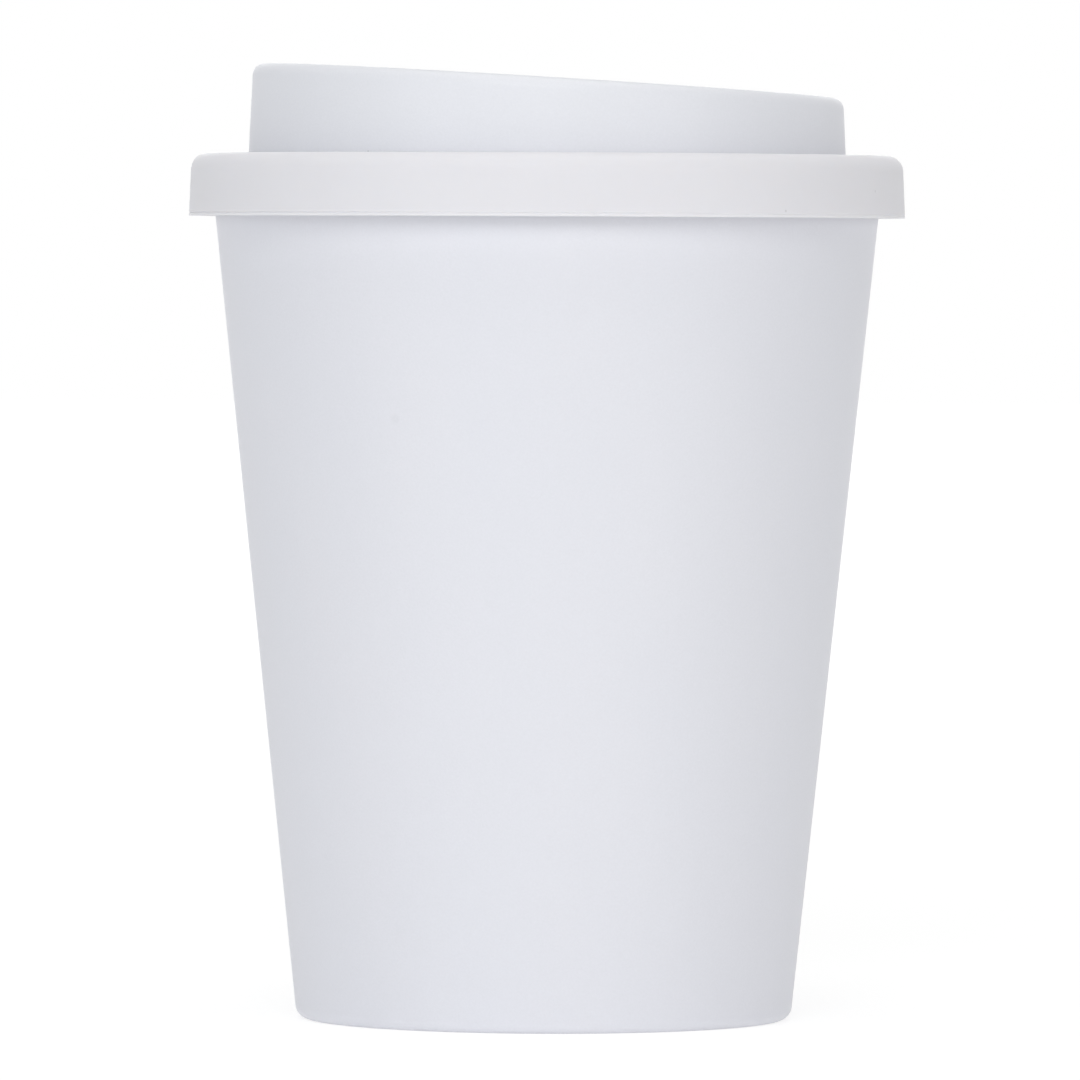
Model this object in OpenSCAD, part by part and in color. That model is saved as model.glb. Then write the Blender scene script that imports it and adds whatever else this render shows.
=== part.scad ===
// Reusable coffee cup with a push-on lid.
// A thin tapered cup takes a lid of two pieces: a soft ring that grips the mouth, and a rigid dome.
// The dome's lip is cut on a slant, high towards -X, and a slot for drinking lies below its high side.
// Millimetres, +Z up. The origin is on the cup's axis, at the surface that the cup stands on.

/* [Cup] */
// Height of the cup to the top of its rim
cup_h = 108.6; // [90:0.2:140]
// Diameter of the cup's outer face, carried down to the table
cup_base_d = 63.5; // [54:0.2:70]
// Diameter of the cup's outer face, carried up to the rim
cup_mouth_d = 86.3; // [80:0.1:96]
// Thickness of the cup's wall
wall_t = 2.0; // [1.4:0.1:2.6]
// Thickness of the cup's floor
floor_t = 2.2; // [1.6:0.1:4]
// Radius of the outer edge at the base
base_round = 1.7; // [0.6:0.1:2.4]
// Radius between the floor and the wall, inside
floor_round = 5; // [2:0.5:9]
// Width of the flat ring that the cup stands on
foot_w = 3.2; // [2:0.1:6]
// Depth of the hollow inside the foot ring
foot_hollow = 1.4; // [0.8:0.1:3]
// How far the rim's bead stands out from the wall's own line
bead_out = 0.5; // [0.3:0.05:1]
// Height of the rim's bead
bead_h = 3.2; // [2:0.1:4]
// Radius of the rim's two top edges
rim_round = 0.8; // [0.4:0.1:1]

/* [Lid ring] */
// Height of the brim that shows outside
brim_h = 8.0; // [6.5:0.1:14]
// Thickness of the skirt at its lower edge
skirt_t = 2.1; // [1.4:0.1:3.5]
// Draft angle of the brim's outer face
brim_draft = 2.4; // [0:0.1:5]
// Radius of the brim's upper edge
brim_round = 2.0; // [0.5:0.1:2.2]
// Radius of the skirt's lower edges
skirt_round = 0.4; // [0.2:0.05:0.6]
// Thickness of the web that rests on the rim
web_t = 2.4; // [1.6:0.1:3.2]
// How far the plug reaches down into the mouth
plug_depth = 10.4; // [8:0.1:16]
// Thickness of the plug's wall
plug_t = 1.5; // [1.2:0.1:2.5]
// Number of sealing fins around the plug
fin_count = 2; // [1:1:2]
// How far each fin stands out
fin_out = 0.2; // [0.1:0.02:0.26]
// Radius of a fin's round edge
fin_round = 0.6; // [0.4:0.05:0.8]
// Thickness of the plug's wall around the groove
groove_wall = 1.4; // [1:0.1:2.5]
// Thickness of the lip under the groove
groove_lip = 1.5; // [1:0.1:2.5]
// How far that lip stays back from the dome's inner wall
groove_lip_back = 0.6; // [0.2:0.1:1.2]

/* [Lid dome] */
// Height of the slanted lip above the brim, on the axis
dome_h = 9.5; // [8.5:0.1:16]
// Slant angle of the lip, high towards -X
lip_slant = 3.25; // [0:0.25:4]
// Draft angle of the dome's outer face
dome_draft = 2.7; // [0.5:0.1:5]
// Thickness of the dome's wall under the deck
dome_t = 2.0; // [1.4:0.1:2.4]
// Width of the lip
lip_w = 2.7; // [2.6:0.1:5]
// Radius of the lip's outer edge
lip_out_round = 1.5; // [0.5:0.1:1.5]
// Radius of the lip's inner edge
lip_in_round = 0.9; // [0.4:0.1:1]
// Height of the deck above the brim
deck_rise = 4.5; // [3:0.1:4.8]
// Thickness of the deck
deck_t = 1.8; // [1.2:0.1:2.4]
// Radius where the deck meets the walls
deck_round = 1.2; // [0.5:0.1:1.5]
// How far the flange reaches into the groove
flange_out = 1.0; // [0.6:0.1:2]
// Thickness of the flange
flange_t = 2.0; // [1.2:0.1:3]

/* [Openings] */
// Length of the drinking slot, across the cup
sip_l = 16; // [12:0.5:22]
// Width of the drinking slot
sip_w = 8; // [5:0.5:10]
// Distance from the drinking slot to the lip's inner wall
sip_back = 2.8; // [1.6:0.1:6]
// Diameter of the vent hole
vent_d = 3; // [1.5:0.1:5]
// Distance from the vent hole to the lip's inner wall
vent_back = 5; // [2:0.1:12]

/* [Clearances] */
// Gap between the rim's bead and the skirt
skirt_gap = 0.25; // [0.15:0.05:0.6]
// Gap between the inside of the mouth and the plug
plug_gap = 0.35; // [0.3:0.05:0.6]
// Gap between the dome and the ring that holds it
seat_gap = 0.05; // [0.02:0.01:0.1]

/* [Hidden] */
$fn = 160;

// Both rigid pieces are a cool white, and the soft ring is a neutral one
rigid_white = [0.91, 0.92, 0.94];
soft_white = [0.92, 0.92, 0.92];

// Small edge radius on hidden corners
edge_round = 0.3;
// Moulding gate in the middle of the cup's underside
gate_d = 4;
gate_depth = 0.4;
// How far a cutting shape reaches past the face that it cuts
past = 1;
// Extra radius of the lip's outline, so that its round crosses the wall at a clear small angle
cross = 0.012;

// Cup: the wall is a straight cone of even thickness
cup_slope = (cup_mouth_d - cup_base_d) / 2 / cup_h;
wall_across = wall_t * sqrt(1 + cup_slope * cup_slope);
floor_top = foot_hollow + floor_t;
foot_in_r = cup_base_d / 2 - base_round - foot_w;
bead_r = cup_mouth_d / 2 + bead_out;
bead_bottom = cup_h - bead_h;
bead_step = bead_r - outer_r(bead_bottom);

// Ring: the skirt hangs outside the rim, and the plug stands inside it
brim_top = cup_h + web_t;
brim_bottom = brim_top - brim_h;
skirt_in_r = bead_r + skirt_gap;
brim_low_r = skirt_in_r + skirt_t;
brim_top_r = brim_low_r - brim_h * tan(brim_draft);
plug_bottom = cup_h - plug_depth;

// Dome: its flange lies in the ring's groove, right under the web
groove_r = plug_r(cup_h) - groove_wall;
flange_r = groove_r - seat_gap;
dome_r = flange_r - flange_out;
dome_in_r = dome_r - dome_t;
flange_top = cup_h - seat_gap;
flange_bottom = flange_top - flange_t;
groove_bottom = flange_bottom - seat_gap;
groove_lip_bottom = groove_bottom - groove_lip;
groove_lip_r = dome_in_r + groove_lip_back;
deck_top = brim_top + deck_rise;
deck_bottom = deck_top - deck_t;

// Lip: a slanted plane cuts the dome's cone in a near circle, whose centre lies a little to the low side
dome_slope = tan(dome_draft);
slant = tan(lip_slant);
lip_z = brim_top + dome_h;
lip_r = dome_r - dome_h * dome_slope;
lip_shift = lip_r * dome_slope * slant;
recess_r = lip_r - lip_w;
blank_top = lip_z + lip_r * slant + past;

// Radius of the cup's outer face at height z
function outer_r(z) = cup_base_d / 2 + cup_slope * z;
// Radius of the cup's inner face at height z
function inner_r(z) = outer_r(z) - wall_across;
// Radius of the plug's outer face at height z
function plug_r(z) = inner_r(z) - plug_gap;
// A vector's direction, with length 1
function unit(v) = v / norm(v);
// Which way an outline turns at point i: above 0 at an outer corner, below 0 at an inner one
function turn(points, i) =
    let (n = len(points), a = points[(i + n - 1) % n], p = points[i], b = points[(i + 1) % n])
    (p[0] - a[0]) * (b[1] - p[1]) - (p[1] - a[1]) * (b[0] - p[0]);

// Outline whose corners are true arcs. Its points run anticlockwise, as [x, y, radius of the corner].
module rounded(points) {
    difference() {
        union() {
            polygon([for (p = points) [p[0], p[1]]]);
            for (i = [0 : len(points) - 1])
                if (points[i][2] > 0 && turn(points, i) < 0) corner(points, i);
        }
        for (i = [0 : len(points) - 1])
            if (points[i][2] > 0 && turn(points, i) > 0) corner(points, i);
    }
}

// The small area between a sharp corner and the arc that rounds it
module corner(points, i) {
    n = len(points);
    flat = [for (p = points) [p[0], p[1]]];
    r = points[i][2];
    tip = flat[i];
    u = unit(flat[(i + n - 1) % n] - tip);
    v = unit(flat[(i + 1) % n] - tip);
    half = acos(u * v) / 2;
    middle = unit(u + v);
    centre = tip + middle * r / sin(half);
    difference() {
        polygon([tip - middle * past / 10, tip + u * r / tan(half), centre, tip + v * r / tan(half)]);
        translate(centre) circle(r);
    }
}

// One thin-walled moulding: foot ring, floor, tapered wall and a rim with a low bead
module cup() {
    color(rigid_white)
        difference() {
            rotate_extrude()
                rounded([
                    [foot_in_r, 0, edge_round],
                    [outer_r(0), 0, base_round],
                    [outer_r(bead_bottom), bead_bottom, 0],
                    [bead_r, bead_bottom + bead_step, edge_round],
                    [bead_r, cup_h, rim_round],
                    [inner_r(cup_h), cup_h, rim_round],
                    [inner_r(floor_top), floor_top, floor_round],
                    [0, floor_top, 0],
                    [0, foot_hollow, 0],
                    [foot_in_r - foot_hollow / 2, foot_hollow, edge_round]
                ]);
            translate([0, 0, foot_hollow - past])
                cylinder(h = past + gate_depth, d = gate_d);
        }
}

// Soft ring: brim and skirt outside the rim, web over it, plug with fins inside it, groove for the dome
module lid_ring() {
    color(soft_white)
        rotate_extrude() {
            rounded([
                [plug_r(plug_bottom) - plug_t, plug_bottom, edge_round],
                [plug_r(plug_bottom), plug_bottom, edge_round],
                [plug_r(cup_h), cup_h, 0],
                [skirt_in_r, cup_h, edge_round],
                [skirt_in_r, brim_bottom, skirt_round],
                [brim_low_r, brim_bottom, skirt_round],
                [brim_top_r, brim_top, brim_round],
                [dome_r + seat_gap, brim_top, 0],
                [dome_r + seat_gap, cup_h, 0],
                [groove_r, cup_h, 0],
                [groove_r, groove_bottom, 0],
                [groove_lip_r, groove_bottom, 0],
                [groove_lip_r, groove_lip_bottom, edge_round],
                [plug_r(groove_lip_bottom) - plug_t, groove_lip_bottom, edge_round]
            ]);
            for (i = [1 : fin_count]) {
                fin_z = plug_bottom + plug_depth * i / (fin_count + 1);
                translate([plug_r(fin_z) + fin_out - fin_round, fin_z]) circle(fin_round);
            }
        }
}

// Rigid dome: flange in the ring's groove, drafted wall, deck sunk below a slanted round lip
module lid_dome() {
    color(rigid_white)
        difference() {
            rotate_extrude()
                rounded([
                    [dome_in_r, flange_bottom, edge_round],
                    [flange_r, flange_bottom, edge_round],
                    [flange_r, flange_top, 0],
                    [dome_r, flange_top, 0],
                    [dome_r, brim_top, 0],
                    [dome_r - (blank_top - brim_top) * dome_slope, blank_top, 0],
                    [0, blank_top, 0],
                    [0, deck_bottom, 0],
                    [dome_in_r, deck_bottom, deck_round]
                ]);
            recess();
            above_lip();
            openings();
        }
}

// The space inside the lip, down to the deck
module recess() {
    translate([lip_shift, 0, 0])
        rotate_extrude()
            rounded([
                [0, deck_top, 0],
                [recess_r, deck_top, deck_round],
                [recess_r, blank_top + past, 0],
                [0, blank_top + past, 0]
            ]);
}

// All that lies above the lip's round top, sheared to follow the slant
module above_lip() {
    reach = lip_out_round + cross;
    translate([lip_shift, 0, lip_z - lip_shift * slant])
        multmatrix([[1, 0, 0, 0], [0, 1, 0, 0], [-slant, 0, 1, 0]])
            rotate_extrude()
                difference() {
                    translate([0, -reach])
                        square([lip_r + 2 * past, reach + 2 * (lip_r * slant + past)]);
                    rounded([
                        [recess_r - cross, -2 * reach, 0],
                        [lip_r + cross + 2 * reach * dome_slope, -2 * reach, 0],
                        [lip_r + cross, 0, lip_out_round],
                        [recess_r - cross, 0, lip_in_round]
                    ]);
                }
}

// The drinking slot at the high side and the vent hole opposite, through the deck
module openings() {
    sip_x = lip_shift - recess_r + sip_back + sip_w / 2;
    vent_x = lip_shift + recess_r - vent_back - vent_d / 2;
    translate([0, 0, deck_bottom - past])
        linear_extrude(deck_t + 2 * past) {
            translate([sip_x, 0]) square([sip_w, sip_l - sip_w], center = true);
            for (side = [-1, 1])
                translate([sip_x, side * (sip_l - sip_w) / 2]) circle(sip_w / 2);
            translate([vent_x, 0]) circle(vent_d / 2);
        }
}

cup();
lid_ring();
lid_dome();
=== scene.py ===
import math

import bmesh
import bpy
import numpy as np
from mathutils import Matrix, Vector


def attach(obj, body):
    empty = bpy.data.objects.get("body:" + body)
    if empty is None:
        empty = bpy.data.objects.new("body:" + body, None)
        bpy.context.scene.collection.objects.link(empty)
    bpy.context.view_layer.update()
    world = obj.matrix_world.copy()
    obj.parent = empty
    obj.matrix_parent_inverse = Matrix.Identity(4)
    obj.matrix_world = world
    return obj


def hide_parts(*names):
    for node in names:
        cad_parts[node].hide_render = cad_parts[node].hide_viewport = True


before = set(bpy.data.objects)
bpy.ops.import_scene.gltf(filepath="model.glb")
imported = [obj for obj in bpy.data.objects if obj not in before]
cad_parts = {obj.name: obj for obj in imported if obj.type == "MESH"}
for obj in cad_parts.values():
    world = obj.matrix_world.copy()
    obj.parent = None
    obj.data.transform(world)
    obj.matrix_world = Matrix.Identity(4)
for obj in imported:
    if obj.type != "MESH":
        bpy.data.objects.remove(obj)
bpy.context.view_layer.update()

# Shapes are worked out in millimetres and turned to metres when they are put into a mesh.
MM = 0.001

# Camera, fitted to the outline in the photograph. It stands on the -Y side and looks along +Y.
CAMERA_DISTANCE = 1493.4
CAMERA_HEIGHT = 98.93
CAMERA_LENS = 387.4
CAMERA_PITCH = 0.02505
CAMERA_ROLL = 0.00434
CAMERA_HEADING = 0.00048

# Cup
CUP_HEIGHT = 108.6
BASE_RADIUS = 31.75
MOUTH_RADIUS = 43.15
CUP_SLOPE = (MOUTH_RADIUS - BASE_RADIUS) / CUP_HEIGHT
WALL_ACROSS = 2.0 * math.hypot(1, CUP_SLOPE)
FLOOR_TOP = 3.6
FOOT_HOLLOW = 1.4
FOOT_INNER_RADIUS = 26.85
BEAD_BOTTOM = 105.4
BEAD_RADIUS = 43.65
# A knock in the wall, left of the middle in the photograph
DENT_DIRECTION = math.radians(241.6)
DENT_HEIGHT = 77.5
DENT_DEPTH = 0.05
DENT_WIDTH = 0.6

# Ring
BRIM_TOP = 111.0
BRIM_BOTTOM = 103.0
BRIM_LOW_RADIUS = 46.0
BRIM_SLOPE = math.tan(math.radians(2.4))
SKIRT_INNER_RADIUS = 43.9
# The mould's parting line above the brim's foot, and the fins that seal on the wall
PARTING_HEIGHT = 0.34
FIN_PITCH = 10.4 / 3
FIN_REACH = 0.2
PLUG_BOTTOM = 98.2
PLUG_WALL = 1.5
PLUG_GAP = 0.35
GROOVE_RADIUS = 39.389
GROOVE_BOTTOM = 106.5
GROOVE_LIP_BOTTOM = 105.0
GROOVE_LIP_RADIUS = 36.939

# Dome
FLANGE_RADIUS = 39.339
FLANGE_BOTTOM = 106.55
FLANGE_TOP = 108.55
DOME_RADIUS = 38.339
DOME_INNER_RADIUS = 36.339
DOME_SLOPE = math.tan(math.radians(2.7))
DECK_TOP = 115.5
DECK_BOTTOM = 113.7
DECK_ROUND = 1.2
LIP_HEIGHT = 120.5
LIP_SLANT = math.tan(math.radians(3.25))
LIP_RADIUS = DOME_RADIUS - (LIP_HEIGHT - BRIM_TOP) * DOME_SLOPE
LIP_SHIFT = LIP_RADIUS * DOME_SLOPE * LIP_SLANT
RECESS_RADIUS = LIP_RADIUS - 2.7
SLOT_CENTRE = LIP_SHIFT - RECESS_RADIUS + 6.8
VENT_CENTRE = LIP_SHIFT + RECESS_RADIUS - 6.5

# Directions round the axis in which each profile is worked out, a whole number of them per quarter
DIRECTIONS = 360
# Points nearer than this are welded, and edges that turn more than this stay sharp
WELD = 0.001
SHARP_EDGE = math.radians(32)
# A profile that ends at a pole stops this far from the axis
POLE = 0.02


def linear(code):
    """Linear colour of an sRGB hex code: c / 12.92 below 0.04045, else ((c + 0.055) / 1.055) to the 2.4."""
    c = np.array([int(code[i:i + 2], 16) for i in (1, 3, 5)]) / 255
    c = np.where(c <= 0.04045, c / 12.92, ((c + 0.055) / 1.055) ** 2.4)
    return (*c.tolist(), 1.0)


def wall_radius(height):
    """Radius of the cup's outer cone at a height: the base radius plus the slope times the height."""
    return BASE_RADIUS + CUP_SLOPE * height


def plug_radius(height):
    """Radius of the plug's outer face: the cup's inner cone less the gap between them."""
    return wall_radius(height) - WALL_ACROSS - PLUG_GAP


def brim_radius(height):
    """Radius of the brim's outer face, which narrows upwards by its slope."""
    return BRIM_LOW_RADIUS - (height - BRIM_BOTTOM) * BRIM_SLOPE


def rounded_profile(corners, directions, arc_steps=6, closed=True):
    """Profile with true arcs at its corners, for all directions round the axis at once.

    Each corner is (radius from the axis, height, rounding, points on the line after it), and the first
    three may differ by direction. The arc's centre lies on the corner's bisector at rounding divided by
    the sine of half its angle, and it touches the edges at rounding divided by the tangent of that half.
    Points on a line crowd towards its two ends, at shares (1 - cos t) / 2 of its length.
    """
    radius, height, rounding = (
        np.stack([np.broadcast_to(c[i], len(directions)) for c in corners], 1).astype(float) for i in range(3)
    )
    tip = np.stack([radius, height], -1)
    back = np.roll(tip, 1, 1) - tip
    ahead = np.roll(tip, -1, 1) - tip
    back /= np.linalg.norm(back, axis=-1, keepdims=True)
    ahead /= np.linalg.norm(ahead, axis=-1, keepdims=True)
    half = np.arccos(np.clip((back * ahead).sum(-1), -1, 1)) / 2
    side = np.sign(ahead[..., 0] * back[..., 1] - ahead[..., 1] * back[..., 0])
    middle = back + ahead
    middle /= np.maximum(np.linalg.norm(middle, axis=-1, keepdims=True), 1e-9)
    touch = (rounding / np.tan(half))[..., None]
    centre = tip + middle * (rounding / np.sin(half))[..., None]
    arm = tip + back * touch - centre
    parts = []
    for i, corner in enumerate(corners):
        rounded = np.max(corner[2]) > 0
        share = np.linspace(0, 1, arc_steps + 1) if rounded else np.zeros(1)
        turn = (side[:, i] * (math.pi - 2 * half[:, i]))[:, None] * share
        parts.append(centre[:, i, None] + np.stack([
            arm[:, i, :1] * np.cos(turn) - arm[:, i, 1:] * np.sin(turn),
            arm[:, i, :1] * np.sin(turn) + arm[:, i, 1:] * np.cos(turn),
        ], -1) if rounded else tip[:, i, None])
        if corner[3] and (closed or i + 1 < len(corners)):
            after = (i + 1) % len(corners)
            start = (tip + ahead * touch)[:, i, None]
            end = (tip + back * touch)[:, after, None]
            share = (1 - np.cos(np.linspace(0, math.pi, corner[3] + 2)[1:-1])) / 2
            parts.append(start + (end - start) * share[:, None])
    return np.concatenate(parts, 1)


def turned(profile, directions):
    """Points of a profile carried round the axis: x = r cos a, y = r sin a, with its own height."""
    r, z = profile[..., 0], profile[..., 1]
    a = directions[:, None]
    return np.stack([r * np.cos(a), r * np.sin(a), z], -1)


def grid_faces(across, along, closed):
    """Four-sided faces of a grid that joins up across, and along too where it is closed."""
    i = np.arange(across)[:, None]
    j = np.arange(along if closed else along - 1)[None, :]
    i_next, j_next = (i + 1) % across, (j + 1) % along
    return np.stack(
        [i * along + j, i_next * along + j, i_next * along + j_next, i * along + j_next], -1
    ).reshape(-1, 4)


def cap_faces(across, along, pole, at_end):
    """Three-sided faces between one end of the grid's profile and its pole on the axis."""
    i = np.arange(across)
    i_next = (i + 1) % across
    if at_end:
        return np.stack([i * along + along - 1, i_next * along + along - 1, np.full(across, pole)], -1)
    return np.stack([np.full(across, pole), i_next * along, i * along], -1)


def make_piece(name, body, node, material, parts):
    """One closed mesh from parts of (points, faces), welded where they meet, smooth but for sharp edges."""
    points = np.concatenate([p for p, _ in parts])
    starts = np.cumsum([0] + [len(p) for p, _ in parts])
    faces = [face for (_, lists), start in zip(parts, starts) for f in lists for face in (f + start).tolist()]
    mesh = bpy.data.meshes.new(name)
    mesh.from_pydata((points * MM).tolist(), [], faces)
    work = bmesh.new()
    work.from_mesh(mesh)
    bmesh.ops.remove_doubles(work, verts=work.verts, dist=WELD * MM)
    work.to_mesh(mesh)
    work.free()
    mesh.shade_smooth()
    mesh.set_sharp_from_angle(angle=SHARP_EDGE)
    mesh.materials.append(material)
    piece = bpy.data.objects.new(name, mesh)
    bpy.context.scene.collection.objects.link(piece)
    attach(piece, body)
    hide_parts(node)
    return piece


def add(tree, kind, inputs=None, **settings):
    """Adds a node, sets its settings, and gives each input a value or a link from another node's output."""
    made = tree.nodes.new(kind)
    for key, value in settings.items():
        setattr(made, key, value)
    for key, value in (inputs or {}).items():
        if isinstance(value, bpy.types.NodeSocket):
            tree.links.new(value, made.inputs[key])
        else:
            made.inputs[key].default_value = value
    return made


def new_material(name):
    """An empty node material, with its tree."""
    material = bpy.data.materials.new(name)
    material.use_nodes = True
    material.node_tree.nodes.clear()
    return material, material.node_tree


def seen_directly(tree):
    """1 for camera, mirror and glass rays, which see the white ground, and 0 for the rays that light."""
    path = add(tree, "ShaderNodeLightPath")
    seen = add(tree, "ShaderNodeMath", {
        0: path.outputs["Is Camera Ray"], 1: path.outputs["Is Glossy Ray"],
    }, operation="ADD")
    return add(tree, "ShaderNodeMath", {
        0: seen.outputs[0], 1: path.outputs["Is Transmission Ray"],
    }, operation="ADD", use_clamp=True).outputs[0]


# Camera
camera_data = bpy.data.cameras.new("photo_camera")
camera_data.sensor_width = 36
camera_data.lens = CAMERA_LENS
camera_data.clip_end = 50
camera = bpy.data.objects.new("photo_camera", camera_data)
bpy.context.scene.collection.objects.link(camera)
camera.matrix_world = (
    Matrix.Translation((0, -CAMERA_DISTANCE * MM, CAMERA_HEIGHT * MM))
    @ Matrix.Rotation(CAMERA_HEADING, 4, "Z")
    @ Matrix.Rotation(math.pi / 2 - CAMERA_PITCH, 4, "X")
    @ Matrix.Rotation(CAMERA_ROLL, 4, "Z")
)
bpy.context.scene.camera = camera
bpy.context.scene.view_settings.view_transform = "Standard"


# Materials

def marked(tree, place, colour, marks):
    """Colour with small soft spots mixed in.

    Each mark is (direction, radius, height, size, strength, hex). A spot is strongest within 0.3 of its
    size from its middle, and fades smoothly to nothing at its size.
    """
    for direction, radius, height, size, strength, code in marks:
        at = (radius * math.cos(direction) * MM, radius * math.sin(direction) * MM, height * MM)
        away = add(tree, "ShaderNodeVectorMath", {0: place, 1: at}, operation="DISTANCE")
        spot = add(tree, "ShaderNodeMapRange", {
            "Value": away.outputs["Value"], "From Min": 0.3 * size * MM, "From Max": size * MM,
            "To Min": strength, "To Max": 0.0,
        }, interpolation_type="SMOOTHSTEP")
        colour = add(tree, "ShaderNodeMix", {
            0: spot.outputs["Result"], 6: colour, 7: linear(code),
        }, data_type="RGBA").outputs[2]
    return colour


# Polypropylene, injection moulded in a finely eroded cavity: a cool matte white with a faint even grain.
# The core that shapes the inside is polished, so the inside is a little glossier.
def moulded_polypropylene(name, whites, marks, polished_inside):
    material, tree = new_material(name)
    place = add(tree, "ShaderNodeTexCoord").outputs["Object"]
    # The melt's slow flow lines, 14 mm apart and drawn out along the axis, shift the white by a shade
    flow_place = add(tree, "ShaderNodeMapping", {"Vector": place, "Scale": (70, 70, 30)})
    flow = add(tree, "ShaderNodeTexNoise", {"Vector": flow_place.outputs[0], "Scale": 1.0, "Detail": 3.0})
    # The eroded grain is 0.05 mm wide on the real mould and is drawn 0.3 mm wide to show
    grain = add(tree, "ShaderNodeTexNoise", {"Vector": place, "Scale": 3300.0, "Detail": 2.0})
    tint = add(tree, "ShaderNodeMix", {
        0: flow.outputs["Fac"], 6: linear(whites[0]), 7: linear(whites[1]),
    }, data_type="RGBA")
    speckled = add(tree, "ShaderNodeMix", {
        0: grain.outputs["Fac"], 6: linear("#F9F9F9"), 7: linear("#FFFFFF"),
    }, data_type="RGBA")
    colour = add(tree, "ShaderNodeMix", {
        0: 1.0, 6: tint.outputs[2], 7: speckled.outputs[2],
    }, data_type="RGBA", blend_type="MULTIPLY").outputs[2]
    # Soft spots mixed into the colour: real dust on the dome, and painted shade in the cup's dent
    colour = marked(tree, place, colour, marks)
    gloss = add(tree, "ShaderNodeMapRange", {
        "Value": flow.outputs["Fac"], "To Min": 0.42, "To Max": 0.48,
    })
    roughness = gloss.outputs["Result"]
    if polished_inside:
        # Inside means nearer the axis than the middle of the wall, which leans with the cone
        apart = add(tree, "ShaderNodeSeparateXYZ", {"Vector": place})
        flat = add(tree, "ShaderNodeVectorMath", {0: place, 1: (1, 1, 0)}, operation="MULTIPLY")
        radius = add(tree, "ShaderNodeVectorMath", {0: flat.outputs[0]}, operation="LENGTH")
        cone = add(tree, "ShaderNodeMath", {
            0: apart.outputs["Z"], 1: CUP_SLOPE, 2: (BASE_RADIUS - WALL_ACROSS / 2) * MM,
        }, operation="MULTIPLY_ADD")
        depth = add(tree, "ShaderNodeMath", {
            0: cone.outputs[0], 1: radius.outputs["Value"],
        }, operation="SUBTRACT")
        inner = add(tree, "ShaderNodeMapRange", {
            "Value": depth.outputs[0], "From Min": -0.2 * MM, "From Max": 0.2 * MM,
        })
        above = add(tree, "ShaderNodeMapRange", {
            "Value": apart.outputs["Z"], "From Min": 2.4 * MM, "From Max": 2.6 * MM,
        })
        inside = add(tree, "ShaderNodeMath", {
            0: inner.outputs["Result"], 1: above.outputs["Result"],
        }, operation="MULTIPLY")
        polish = add(tree, "ShaderNodeMix", {
            0: inside.outputs[0], 2: roughness, 3: 0.34,
        })
        roughness = polish.outputs[0]
    bump = add(tree, "ShaderNodeBump", {
        "Height": grain.outputs["Fac"], "Strength": 0.7, "Distance": 0.02 * MM,
    })
    surface = add(tree, "ShaderNodeBsdfPrincipled", {
        "Base Color": colour, "Roughness": roughness, "IOR": 1.49,
        "Normal": bump.outputs["Normal"],
    })
    add(tree, "ShaderNodeOutputMaterial", {"Surface": surface.outputs["BSDF"]})
    return material


# Silicone rubber, compression moulded: a softer, warmer white with little shine and some dust on it. Light
# goes about 1 mm into it, which brightens its thin lower lip.
def moulded_silicone(name, marks):
    material, tree = new_material(name)
    place = add(tree, "ShaderNodeTexCoord").outputs["Object"]
    cloud = add(tree, "ShaderNodeTexNoise", {"Vector": place, "Scale": 90.0, "Detail": 3.0})
    # Its blasted mould gives a grain 0.06 mm wide, drawn 0.35 mm wide to show
    grain = add(tree, "ShaderNodeTexNoise", {"Vector": place, "Scale": 2900.0, "Detail": 2.0})
    colour = add(tree, "ShaderNodeMix", {
        0: cloud.outputs["Fac"], 6: linear("#E6E5E9"), 7: linear("#E9E8EC"),
    }, data_type="RGBA").outputs[2]
    colour = marked(tree, place, colour, marks)
    gloss = add(tree, "ShaderNodeMapRange", {
        "Value": cloud.outputs["Fac"], "To Min": 0.5, "To Max": 0.56,
    })
    bump = add(tree, "ShaderNodeBump", {
        "Height": grain.outputs["Fac"], "Strength": 0.5, "Distance": 0.02 * MM,
    })
    surface = add(tree, "ShaderNodeBsdfPrincipled", {
        "Base Color": colour, "Roughness": gloss.outputs["Result"], "IOR": 1.41,
        "Subsurface Weight": 0.5, "Subsurface Radius": (1.0, 0.95, 0.9), "Subsurface Scale": 1.0 * MM,
        "Normal": bump.outputs["Normal"],
    })
    add(tree, "ShaderNodeOutputMaterial", {"Surface": surface.outputs["BSDF"]})
    return material


# A grey spot of painted shade in the cup's dent, two specks of dust on the ring and one at the dome's foot
DENT_PAINTED_SHADE = "#8A8C90"
DUST = "#5E5A58"
CUP_PAINTED_SHADE_MARKS = ((DENT_DIRECTION, wall_radius(DENT_HEIGHT), DENT_HEIGHT, 0.9, 0.05, DENT_PAINTED_SHADE),)
RING_MARKS = (
    (math.radians(310.7), 45.97, 103.8, 0.22, 0.2, DUST),
    (math.radians(335.2), 45.86, 106.4, 0.22, 0.2, DUST),
)
DOME_MARKS = ((math.radians(234.0), 38.34, 111.1, 0.16, 0.3, DUST),)
cup_material = moulded_polypropylene("moulded_polypropylene_cup", ("#E6E7EE", "#E9E9EF"), CUP_PAINTED_SHADE_MARKS, True)
dome_material = moulded_polypropylene("moulded_polypropylene_dome", ("#E9EAF0", "#EBECF1"), DOME_MARKS, False)
ring_material = moulded_silicone("moulded_silicone_ring", RING_MARKS)


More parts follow.
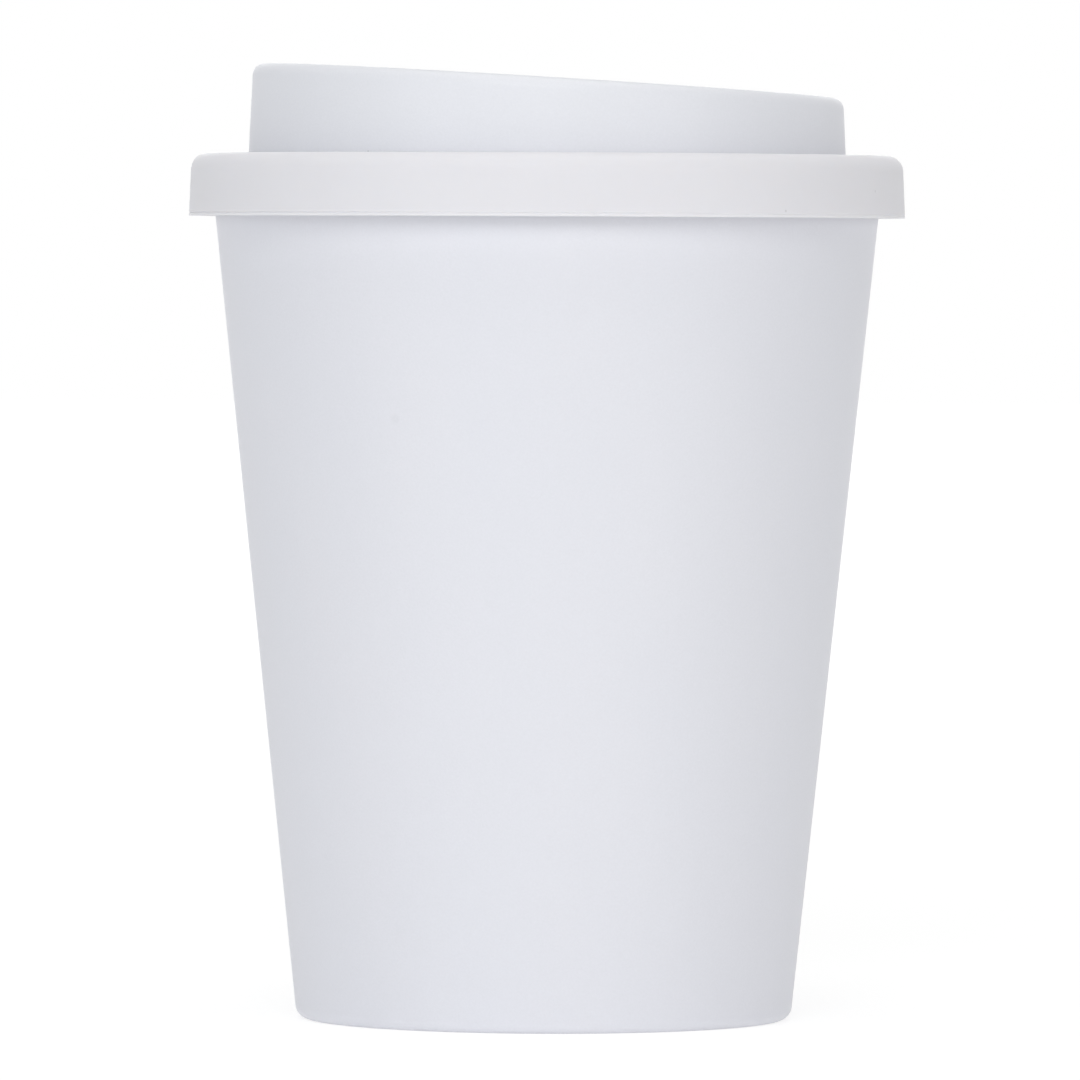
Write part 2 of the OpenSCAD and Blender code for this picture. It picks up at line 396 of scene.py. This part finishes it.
# Cup: foot ring, floor, wall and beaded rim
def cup_parts():
    """A profile from the underside's pole, out and up the wall and down inside to the floor's pole.

    The wall carries one shallow dent, which lowers it by depth * exp(-(distance / width) ** 2).
    """
    spread = np.radians(np.arange(-3, 3.01, 0.25))
    even = np.arange(DIRECTIONS) * 2 * math.pi / DIRECTIONS
    directions = np.unique(np.round(np.concatenate([even, DENT_DIRECTION + spread]), 6))
    gate_roof = FOOT_HOLLOW + 0.4
    corners = [
        (POLE, gate_roof - 0.2, 0, 0),
        (0.6, gate_roof - 0.2, 0.12, 0),
        (0.68, gate_roof, 0.06, 1),
        (2.0, gate_roof, 0.12, 1),
        (2.0, FOOT_HOLLOW, 0.12, 12),
        (FOOT_INNER_RADIUS - FOOT_HOLLOW / 2, FOOT_HOLLOW, 0.3, 1),
        (FOOT_INNER_RADIUS, 0, 0.3, 3),
        (BASE_RADIUS, 0, 1.7, 32),
        (wall_radius(DENT_HEIGHT - 1.8), DENT_HEIGHT - 1.8, 0, 16),
        (wall_radius(DENT_HEIGHT + 1.8), DENT_HEIGHT + 1.8, 0, 18),
        (wall_radius(BEAD_BOTTOM), BEAD_BOTTOM, 0.2, 1),
        (BEAD_RADIUS, BEAD_BOTTOM + BEAD_RADIUS - wall_radius(BEAD_BOTTOM), 0.3, 2),
        (BEAD_RADIUS, CUP_HEIGHT, 0.8, 1),
        (wall_radius(CUP_HEIGHT) - WALL_ACROSS, CUP_HEIGHT, 0.8, 40),
        (wall_radius(FLOOR_TOP) - WALL_ACROSS, FLOOR_TOP, 5.0, 12),
        (POLE, FLOOR_TOP, 0, 0),
    ]
    profile = rounded_profile(corners, directions, closed=False)
    sideways = (directions[:, None] - DENT_DIRECTION) * profile[..., 0]
    distance = np.hypot(sideways, profile[..., 1] - DENT_HEIGHT)
    outside = profile[..., 0] > wall_radius(profile[..., 1]) - 0.5
    profile[..., 0] -= outside * DENT_DEPTH * np.exp(-((distance / DENT_WIDTH) ** 2))
    points = turned(profile, directions)
    along = profile.shape[1]
    poles = np.array([[0, 0, gate_roof - 0.2], [0, 0, FLOOR_TOP]])
    count = len(directions) * along
    return [(np.concatenate([points.reshape(-1, 3), poles]), [
        grid_faces(len(directions), along, False),
        cap_faces(len(directions), along, count, False),
        cap_faces(len(directions), along, count + 1, True),
    ])]


# Ring: brim, skirt, web, plug with two fins, and the groove for the dome
def ring_parts():
    """A closed profile turned round the axis; the mould's parting line is a fine step above the brim's foot.

    Its depth varies with direction as a sum of sines, and it is deepest at the left of the photograph.
    """
    a = np.arange(DIRECTIONS) * 2 * math.pi / DIRECTIONS
    left = 0.5 - 0.5 * np.cos(a - math.radians(35))
    uneven = 0.8 + 0.12 * np.sin(23 * a + 1) + 0.08 * np.sin(61 * a) + 0.06 * np.sin(9 * a + 2)
    step = 0.02 + 0.08 * left ** 2 * uneven
    line_z = BRIM_BOTTOM + PARTING_HEIGHT
    fins = []
    for z in (PLUG_BOTTOM + FIN_PITCH, PLUG_BOTTOM + 2 * FIN_PITCH):
        r = plug_radius(z)
        fins += [
            (r, z - 0.5, 0.1, 0),
            (r + FIN_REACH, z - 0.3, 0.2, 0),
            (r + FIN_REACH, z + 0.3, 0.2, 0),
            (r, z + 0.5, 0.1, 1),
        ]
    corners = [
        (plug_radius(PLUG_BOTTOM) - PLUG_WALL, PLUG_BOTTOM, 0.3, 1),
        (plug_radius(PLUG_BOTTOM), PLUG_BOTTOM, 0.3, 1),
        *fins,
        (plug_radius(CUP_HEIGHT), CUP_HEIGHT, 0.2, 2),
        (SKIRT_INNER_RADIUS, CUP_HEIGHT, 0.3, 3),
        (SKIRT_INNER_RADIUS, BRIM_BOTTOM, 0.3, 1),
        (BRIM_LOW_RADIUS - 0.01, BRIM_BOTTOM, 0.1, 0),
        (brim_radius(line_z) - 0.05, line_z, 0.03, 0),
        (brim_radius(line_z) - 0.05 - step, line_z + 0.05, 0.015, 0),
        (brim_radius(line_z) - 0.05 - step, line_z + 0.1, 0.02, 0),
        (brim_radius(line_z) - 0.03, line_z + 0.18, 0.06, 8),
        (brim_radius(BRIM_TOP) - 0.03, BRIM_TOP, 2.0, 6),
        (DOME_RADIUS + 0.06, BRIM_TOP, 0.2, 1),
        (DOME_RADIUS + 0.06, CUP_HEIGHT + 0.01, 0.02, 0),
        (GROOVE_RADIUS, CUP_HEIGHT + 0.01, 0.05, 1),
        (GROOVE_RADIUS, GROOVE_BOTTOM, 0.05, 1),
        (GROOVE_LIP_RADIUS, GROOVE_BOTTOM, 0.2, 1),
        (GROOVE_LIP_RADIUS, GROOVE_LIP_BOTTOM, 0.3, 1),
        (plug_radius(GROOVE_LIP_BOTTOM) - PLUG_WALL, GROOVE_LIP_BOTTOM, 0.3, 3),
    ]
    profile = rounded_profile(corners, a)
    return [(turned(profile, a).reshape(-1, 3), [grid_faces(DIRECTIONS, profile.shape[1], True)])]


def hole_part(top_loop, bottom_loop, centre, straight, radius, edge):
    """Deck and wall round one hole, as a grid whose columns leave the hole's centre at fixed angles.

    The hole is a circle drawn out along Y: at angle t its edge is radius / |cos t| away on the straight
    sides, and straight |sin t| + sqrt(radius^2 - straight^2 cos^2 t) on the round ends. Each row is the
    deck's own edge, or the hole's edge moved out by an offset, with both its edges rounded by quarter arcs.
    """
    t = np.arctan2(top_loop[:, 1], top_loop[:, 0] - centre)
    cos, sin = np.abs(np.cos(t)), np.abs(np.sin(t))

    def at(offset, height):
        r = radius + offset
        far = straight * sin + np.sqrt(np.maximum(r * r - (straight * cos) ** 2, 0))
        reach = np.where(r * sin <= straight * cos, r / np.maximum(cos, 1e-9), far)
        return np.stack([centre + reach * np.cos(t), reach * np.sin(t), np.full(len(t), height)], -1)

    quarter = np.linspace(0, math.pi / 2, 6)
    top = np.column_stack([top_loop, np.full(len(t), DECK_TOP)])
    bottom = np.column_stack([bottom_loop, np.full(len(t), DECK_BOTTOM)])
    rows = [top + (at(edge, DECK_TOP) - top) * s for s in (0, 0.25, 0.5, 0.75, 0.95)]
    rows += [at(edge * (1 - np.sin(q)), DECK_TOP - edge * (1 - np.cos(q))) for q in quarter]
    rows += [at(edge * (1 - np.cos(q)), DECK_BOTTOM + edge * (1 - np.sin(q))) for q in quarter]
    rows += [bottom + (at(edge, DECK_BOTTOM) - bottom) * s for s in (0.95, 0.75, 0.5, 0.25, 0)]
    grid = np.stack(rows, 1)
    return grid.reshape(-1, 3), [grid_faces(len(t), len(rows), False)]


# Dome: flange, drafted wall, slanted lip, recess and deck with its two holes
def dome_parts():
    """A closed shell whose profile differs by direction, because a slanted plane cuts its lip.

    In direction a the wall meets the plane z = lip height - x * slant at a radius of
    lip radius / (1 - slope * slant * cos a). The recess is a circle whose centre is shifted by c, so its
    radius there is c cos a + sqrt(R^2 - c^2 sin^2 a). The deck is two half grids, one round each hole.
    """
    a = np.arange(DIRECTIONS) * 2 * math.pi / DIRECTIONS

    def shifted(r):
        return LIP_SHIFT * np.cos(a) + np.sqrt(r * r - (LIP_SHIFT * np.sin(a)) ** 2)

    def plane(r):
        return LIP_HEIGHT - r * np.cos(a) * LIP_SLANT

    outer = LIP_RADIUS / (1 - DOME_SLOPE * LIP_SLANT * np.cos(a))
    recess = shifted(RECESS_RADIUS)
    deck_edge = shifted(RECESS_RADIUS - DECK_ROUND)
    under_edge = DOME_INNER_RADIUS - DECK_ROUND
    corners = [
        (under_edge, DECK_BOTTOM, 0, 0),
        (DOME_INNER_RADIUS, DECK_BOTTOM, DECK_ROUND, 2),
        (DOME_INNER_RADIUS, FLANGE_BOTTOM, 0.3, 1),
        (FLANGE_RADIUS, FLANGE_BOTTOM, 0.3, 1),
        (FLANGE_RADIUS, FLANGE_TOP, 0.1, 1),
        (DOME_RADIUS, FLANGE_TOP, 0.1, 1),
        (DOME_RADIUS, BRIM_TOP, 0, 10),
        (outer, plane(outer), 1.5, 1),
        (recess, plane(recess), 0.9, 3),
        (recess, DECK_TOP, DECK_ROUND, 0),
        (deck_edge, DECK_TOP, 0, 0),
    ]
    profile = rounded_profile(corners, a, closed=False)
    shell = turned(profile, a)
    quarter = DIRECTIONS // 4
    left = np.arange(quarter, 3 * quarter + 1)
    right = np.arange(-quarter, quarter + 1)
    parts = [(shell.reshape(-1, 3), [grid_faces(DIRECTIONS, profile.shape[1], False)])]
    share = np.linspace(-1, 1, 73)[1:-1, None]
    for side, centre, straight, radius, edge in (
        (left, SLOT_CENTRE, 4.0, 4.0, 0.4), (right, VENT_CENTRE, 0.0, 1.5, 0.3)
    ):
        loops = []
        for j in (-1, 0):
            arc = shell[side, j, :2]
            chord = (arc[-1] * (1 - share) + arc[0] * (1 + share)) / 2
            loops.append(np.concatenate([arc, chord]))
        parts.append(hole_part(*loops, centre, straight, radius, edge))
    return parts


make_piece("moulded_cup", "cup", "cup", cup_material, cup_parts())
make_piece("brim_ring", "lid", "lid_ring", ring_material, ring_parts())
make_piece("sipping_dome", "lid", "lid_dome", dome_material, dome_parts())


# Floor: a white plane with a painted glow, a little light of its own that lights the cup from below as well.
# Camera and mirror rays see it white, less a part of the shade that lies on it, which is largest round the
# cup and gone where the lamps end.
floor_mesh = bpy.data.meshes.new("floor")
floor_mesh.from_pydata([(-6, -6, 0), (6, -6, 0), (6, 6, 0), (-6, 6, 0)], [], [(0, 1, 2, 3)])
floor = bpy.data.objects.new("floor", floor_mesh)
bpy.context.scene.collection.objects.link(floor)
paper, tree = new_material("white_floor_with_painted_glow")
place = add(tree, "ShaderNodeTexCoord").outputs["Object"]
reach = add(tree, "ShaderNodeVectorMath", {0: place}, operation="LENGTH")
fade = add(tree, "ShaderNodeMapRange", {
    "Value": reach.outputs["Value"], "From Min": 0.25, "From Max": 1.4, "To Min": 0.62, "To Max": 1.0,
})
share = add(tree, "ShaderNodeMath", {
    0: seen_directly(tree), 1: fade.outputs["Result"],
}, operation="MULTIPLY")
matte = add(tree, "ShaderNodeBsdfDiffuse", {"Color": linear("#F8F8F8")})
# Painted glow: the floor gives off light of its own, which lights the cup's underside and lower edges
painted_glow = add(tree, "ShaderNodeEmission", {"Color": (1.0, 0.995, 0.985, 1), "Strength": 0.22})
lit = add(tree, "ShaderNodeAddShader", {0: matte.outputs[0], 1: painted_glow.outputs[0]})
bright = add(tree, "ShaderNodeEmission", {"Color": (1, 1, 1, 1), "Strength": 1.08})
mixed = add(tree, "ShaderNodeMixShader", {0: share.outputs[0], 1: lit.outputs[0], 2: bright.outputs[0]})
add(tree, "ShaderNodeOutputMaterial", {"Surface": mixed.outputs[0]})
floor_mesh.materials.append(paper)

# World: a white room, seen as white and giving a cool even light
world = bpy.data.worlds.new("white_room")
world.use_nodes = True
bpy.context.scene.world = world
tree = world.node_tree
tree.nodes.clear()
soft = add(tree, "ShaderNodeBackground", {"Color": (0.94, 0.975, 1.0, 1), "Strength": 0.255})
white = add(tree, "ShaderNodeBackground", {"Color": (1, 1, 1, 1), "Strength": 1.0})
mixed = add(tree, "ShaderNodeMixShader", {
    0: seen_directly(tree), 1: soft.outputs[0], 2: white.outputs[0],
})
add(tree, "ShaderNodeOutputWorld", {"Surface": mixed.outputs[0]})


def softbox(name, place, size, power, colour):
    """A square area lamp at a place, turned to face the middle of the cup."""
    lamp = bpy.data.lights.new(name, "AREA")
    lamp.size = size
    lamp.energy = power
    lamp.color = colour
    box = bpy.data.objects.new(name, lamp)
    box.location = place
    box.rotation_euler = (Vector((0, 0, 0.06)) - Vector(place)).to_track_quat("-Z", "Y").to_euler()
    box.visible_camera = False
    bpy.context.scene.collection.objects.link(box)


softbox("front_softbox", (-0.12, -1.5, 0.85), 0.7, 7.3, (1.0, 0.995, 0.985))
softbox("left_softbox", (-1.2, -1.2, 0.3), 0.8, 3.6, (0.92, 0.965, 1.0))
softbox("right_softbox", (1.2, -1.2, 0.3), 0.8, 3.4, (1.0, 0.995, 0.985))
softbox("back_softbox", (0.0, 1.7, 0.4), 0.9, 2.4, (1.0, 0.995, 0.985))
softbox("top_softbox", (0.0, 0.0, 1.5), 1.4, 10.0, (1.0, 0.99, 0.97))
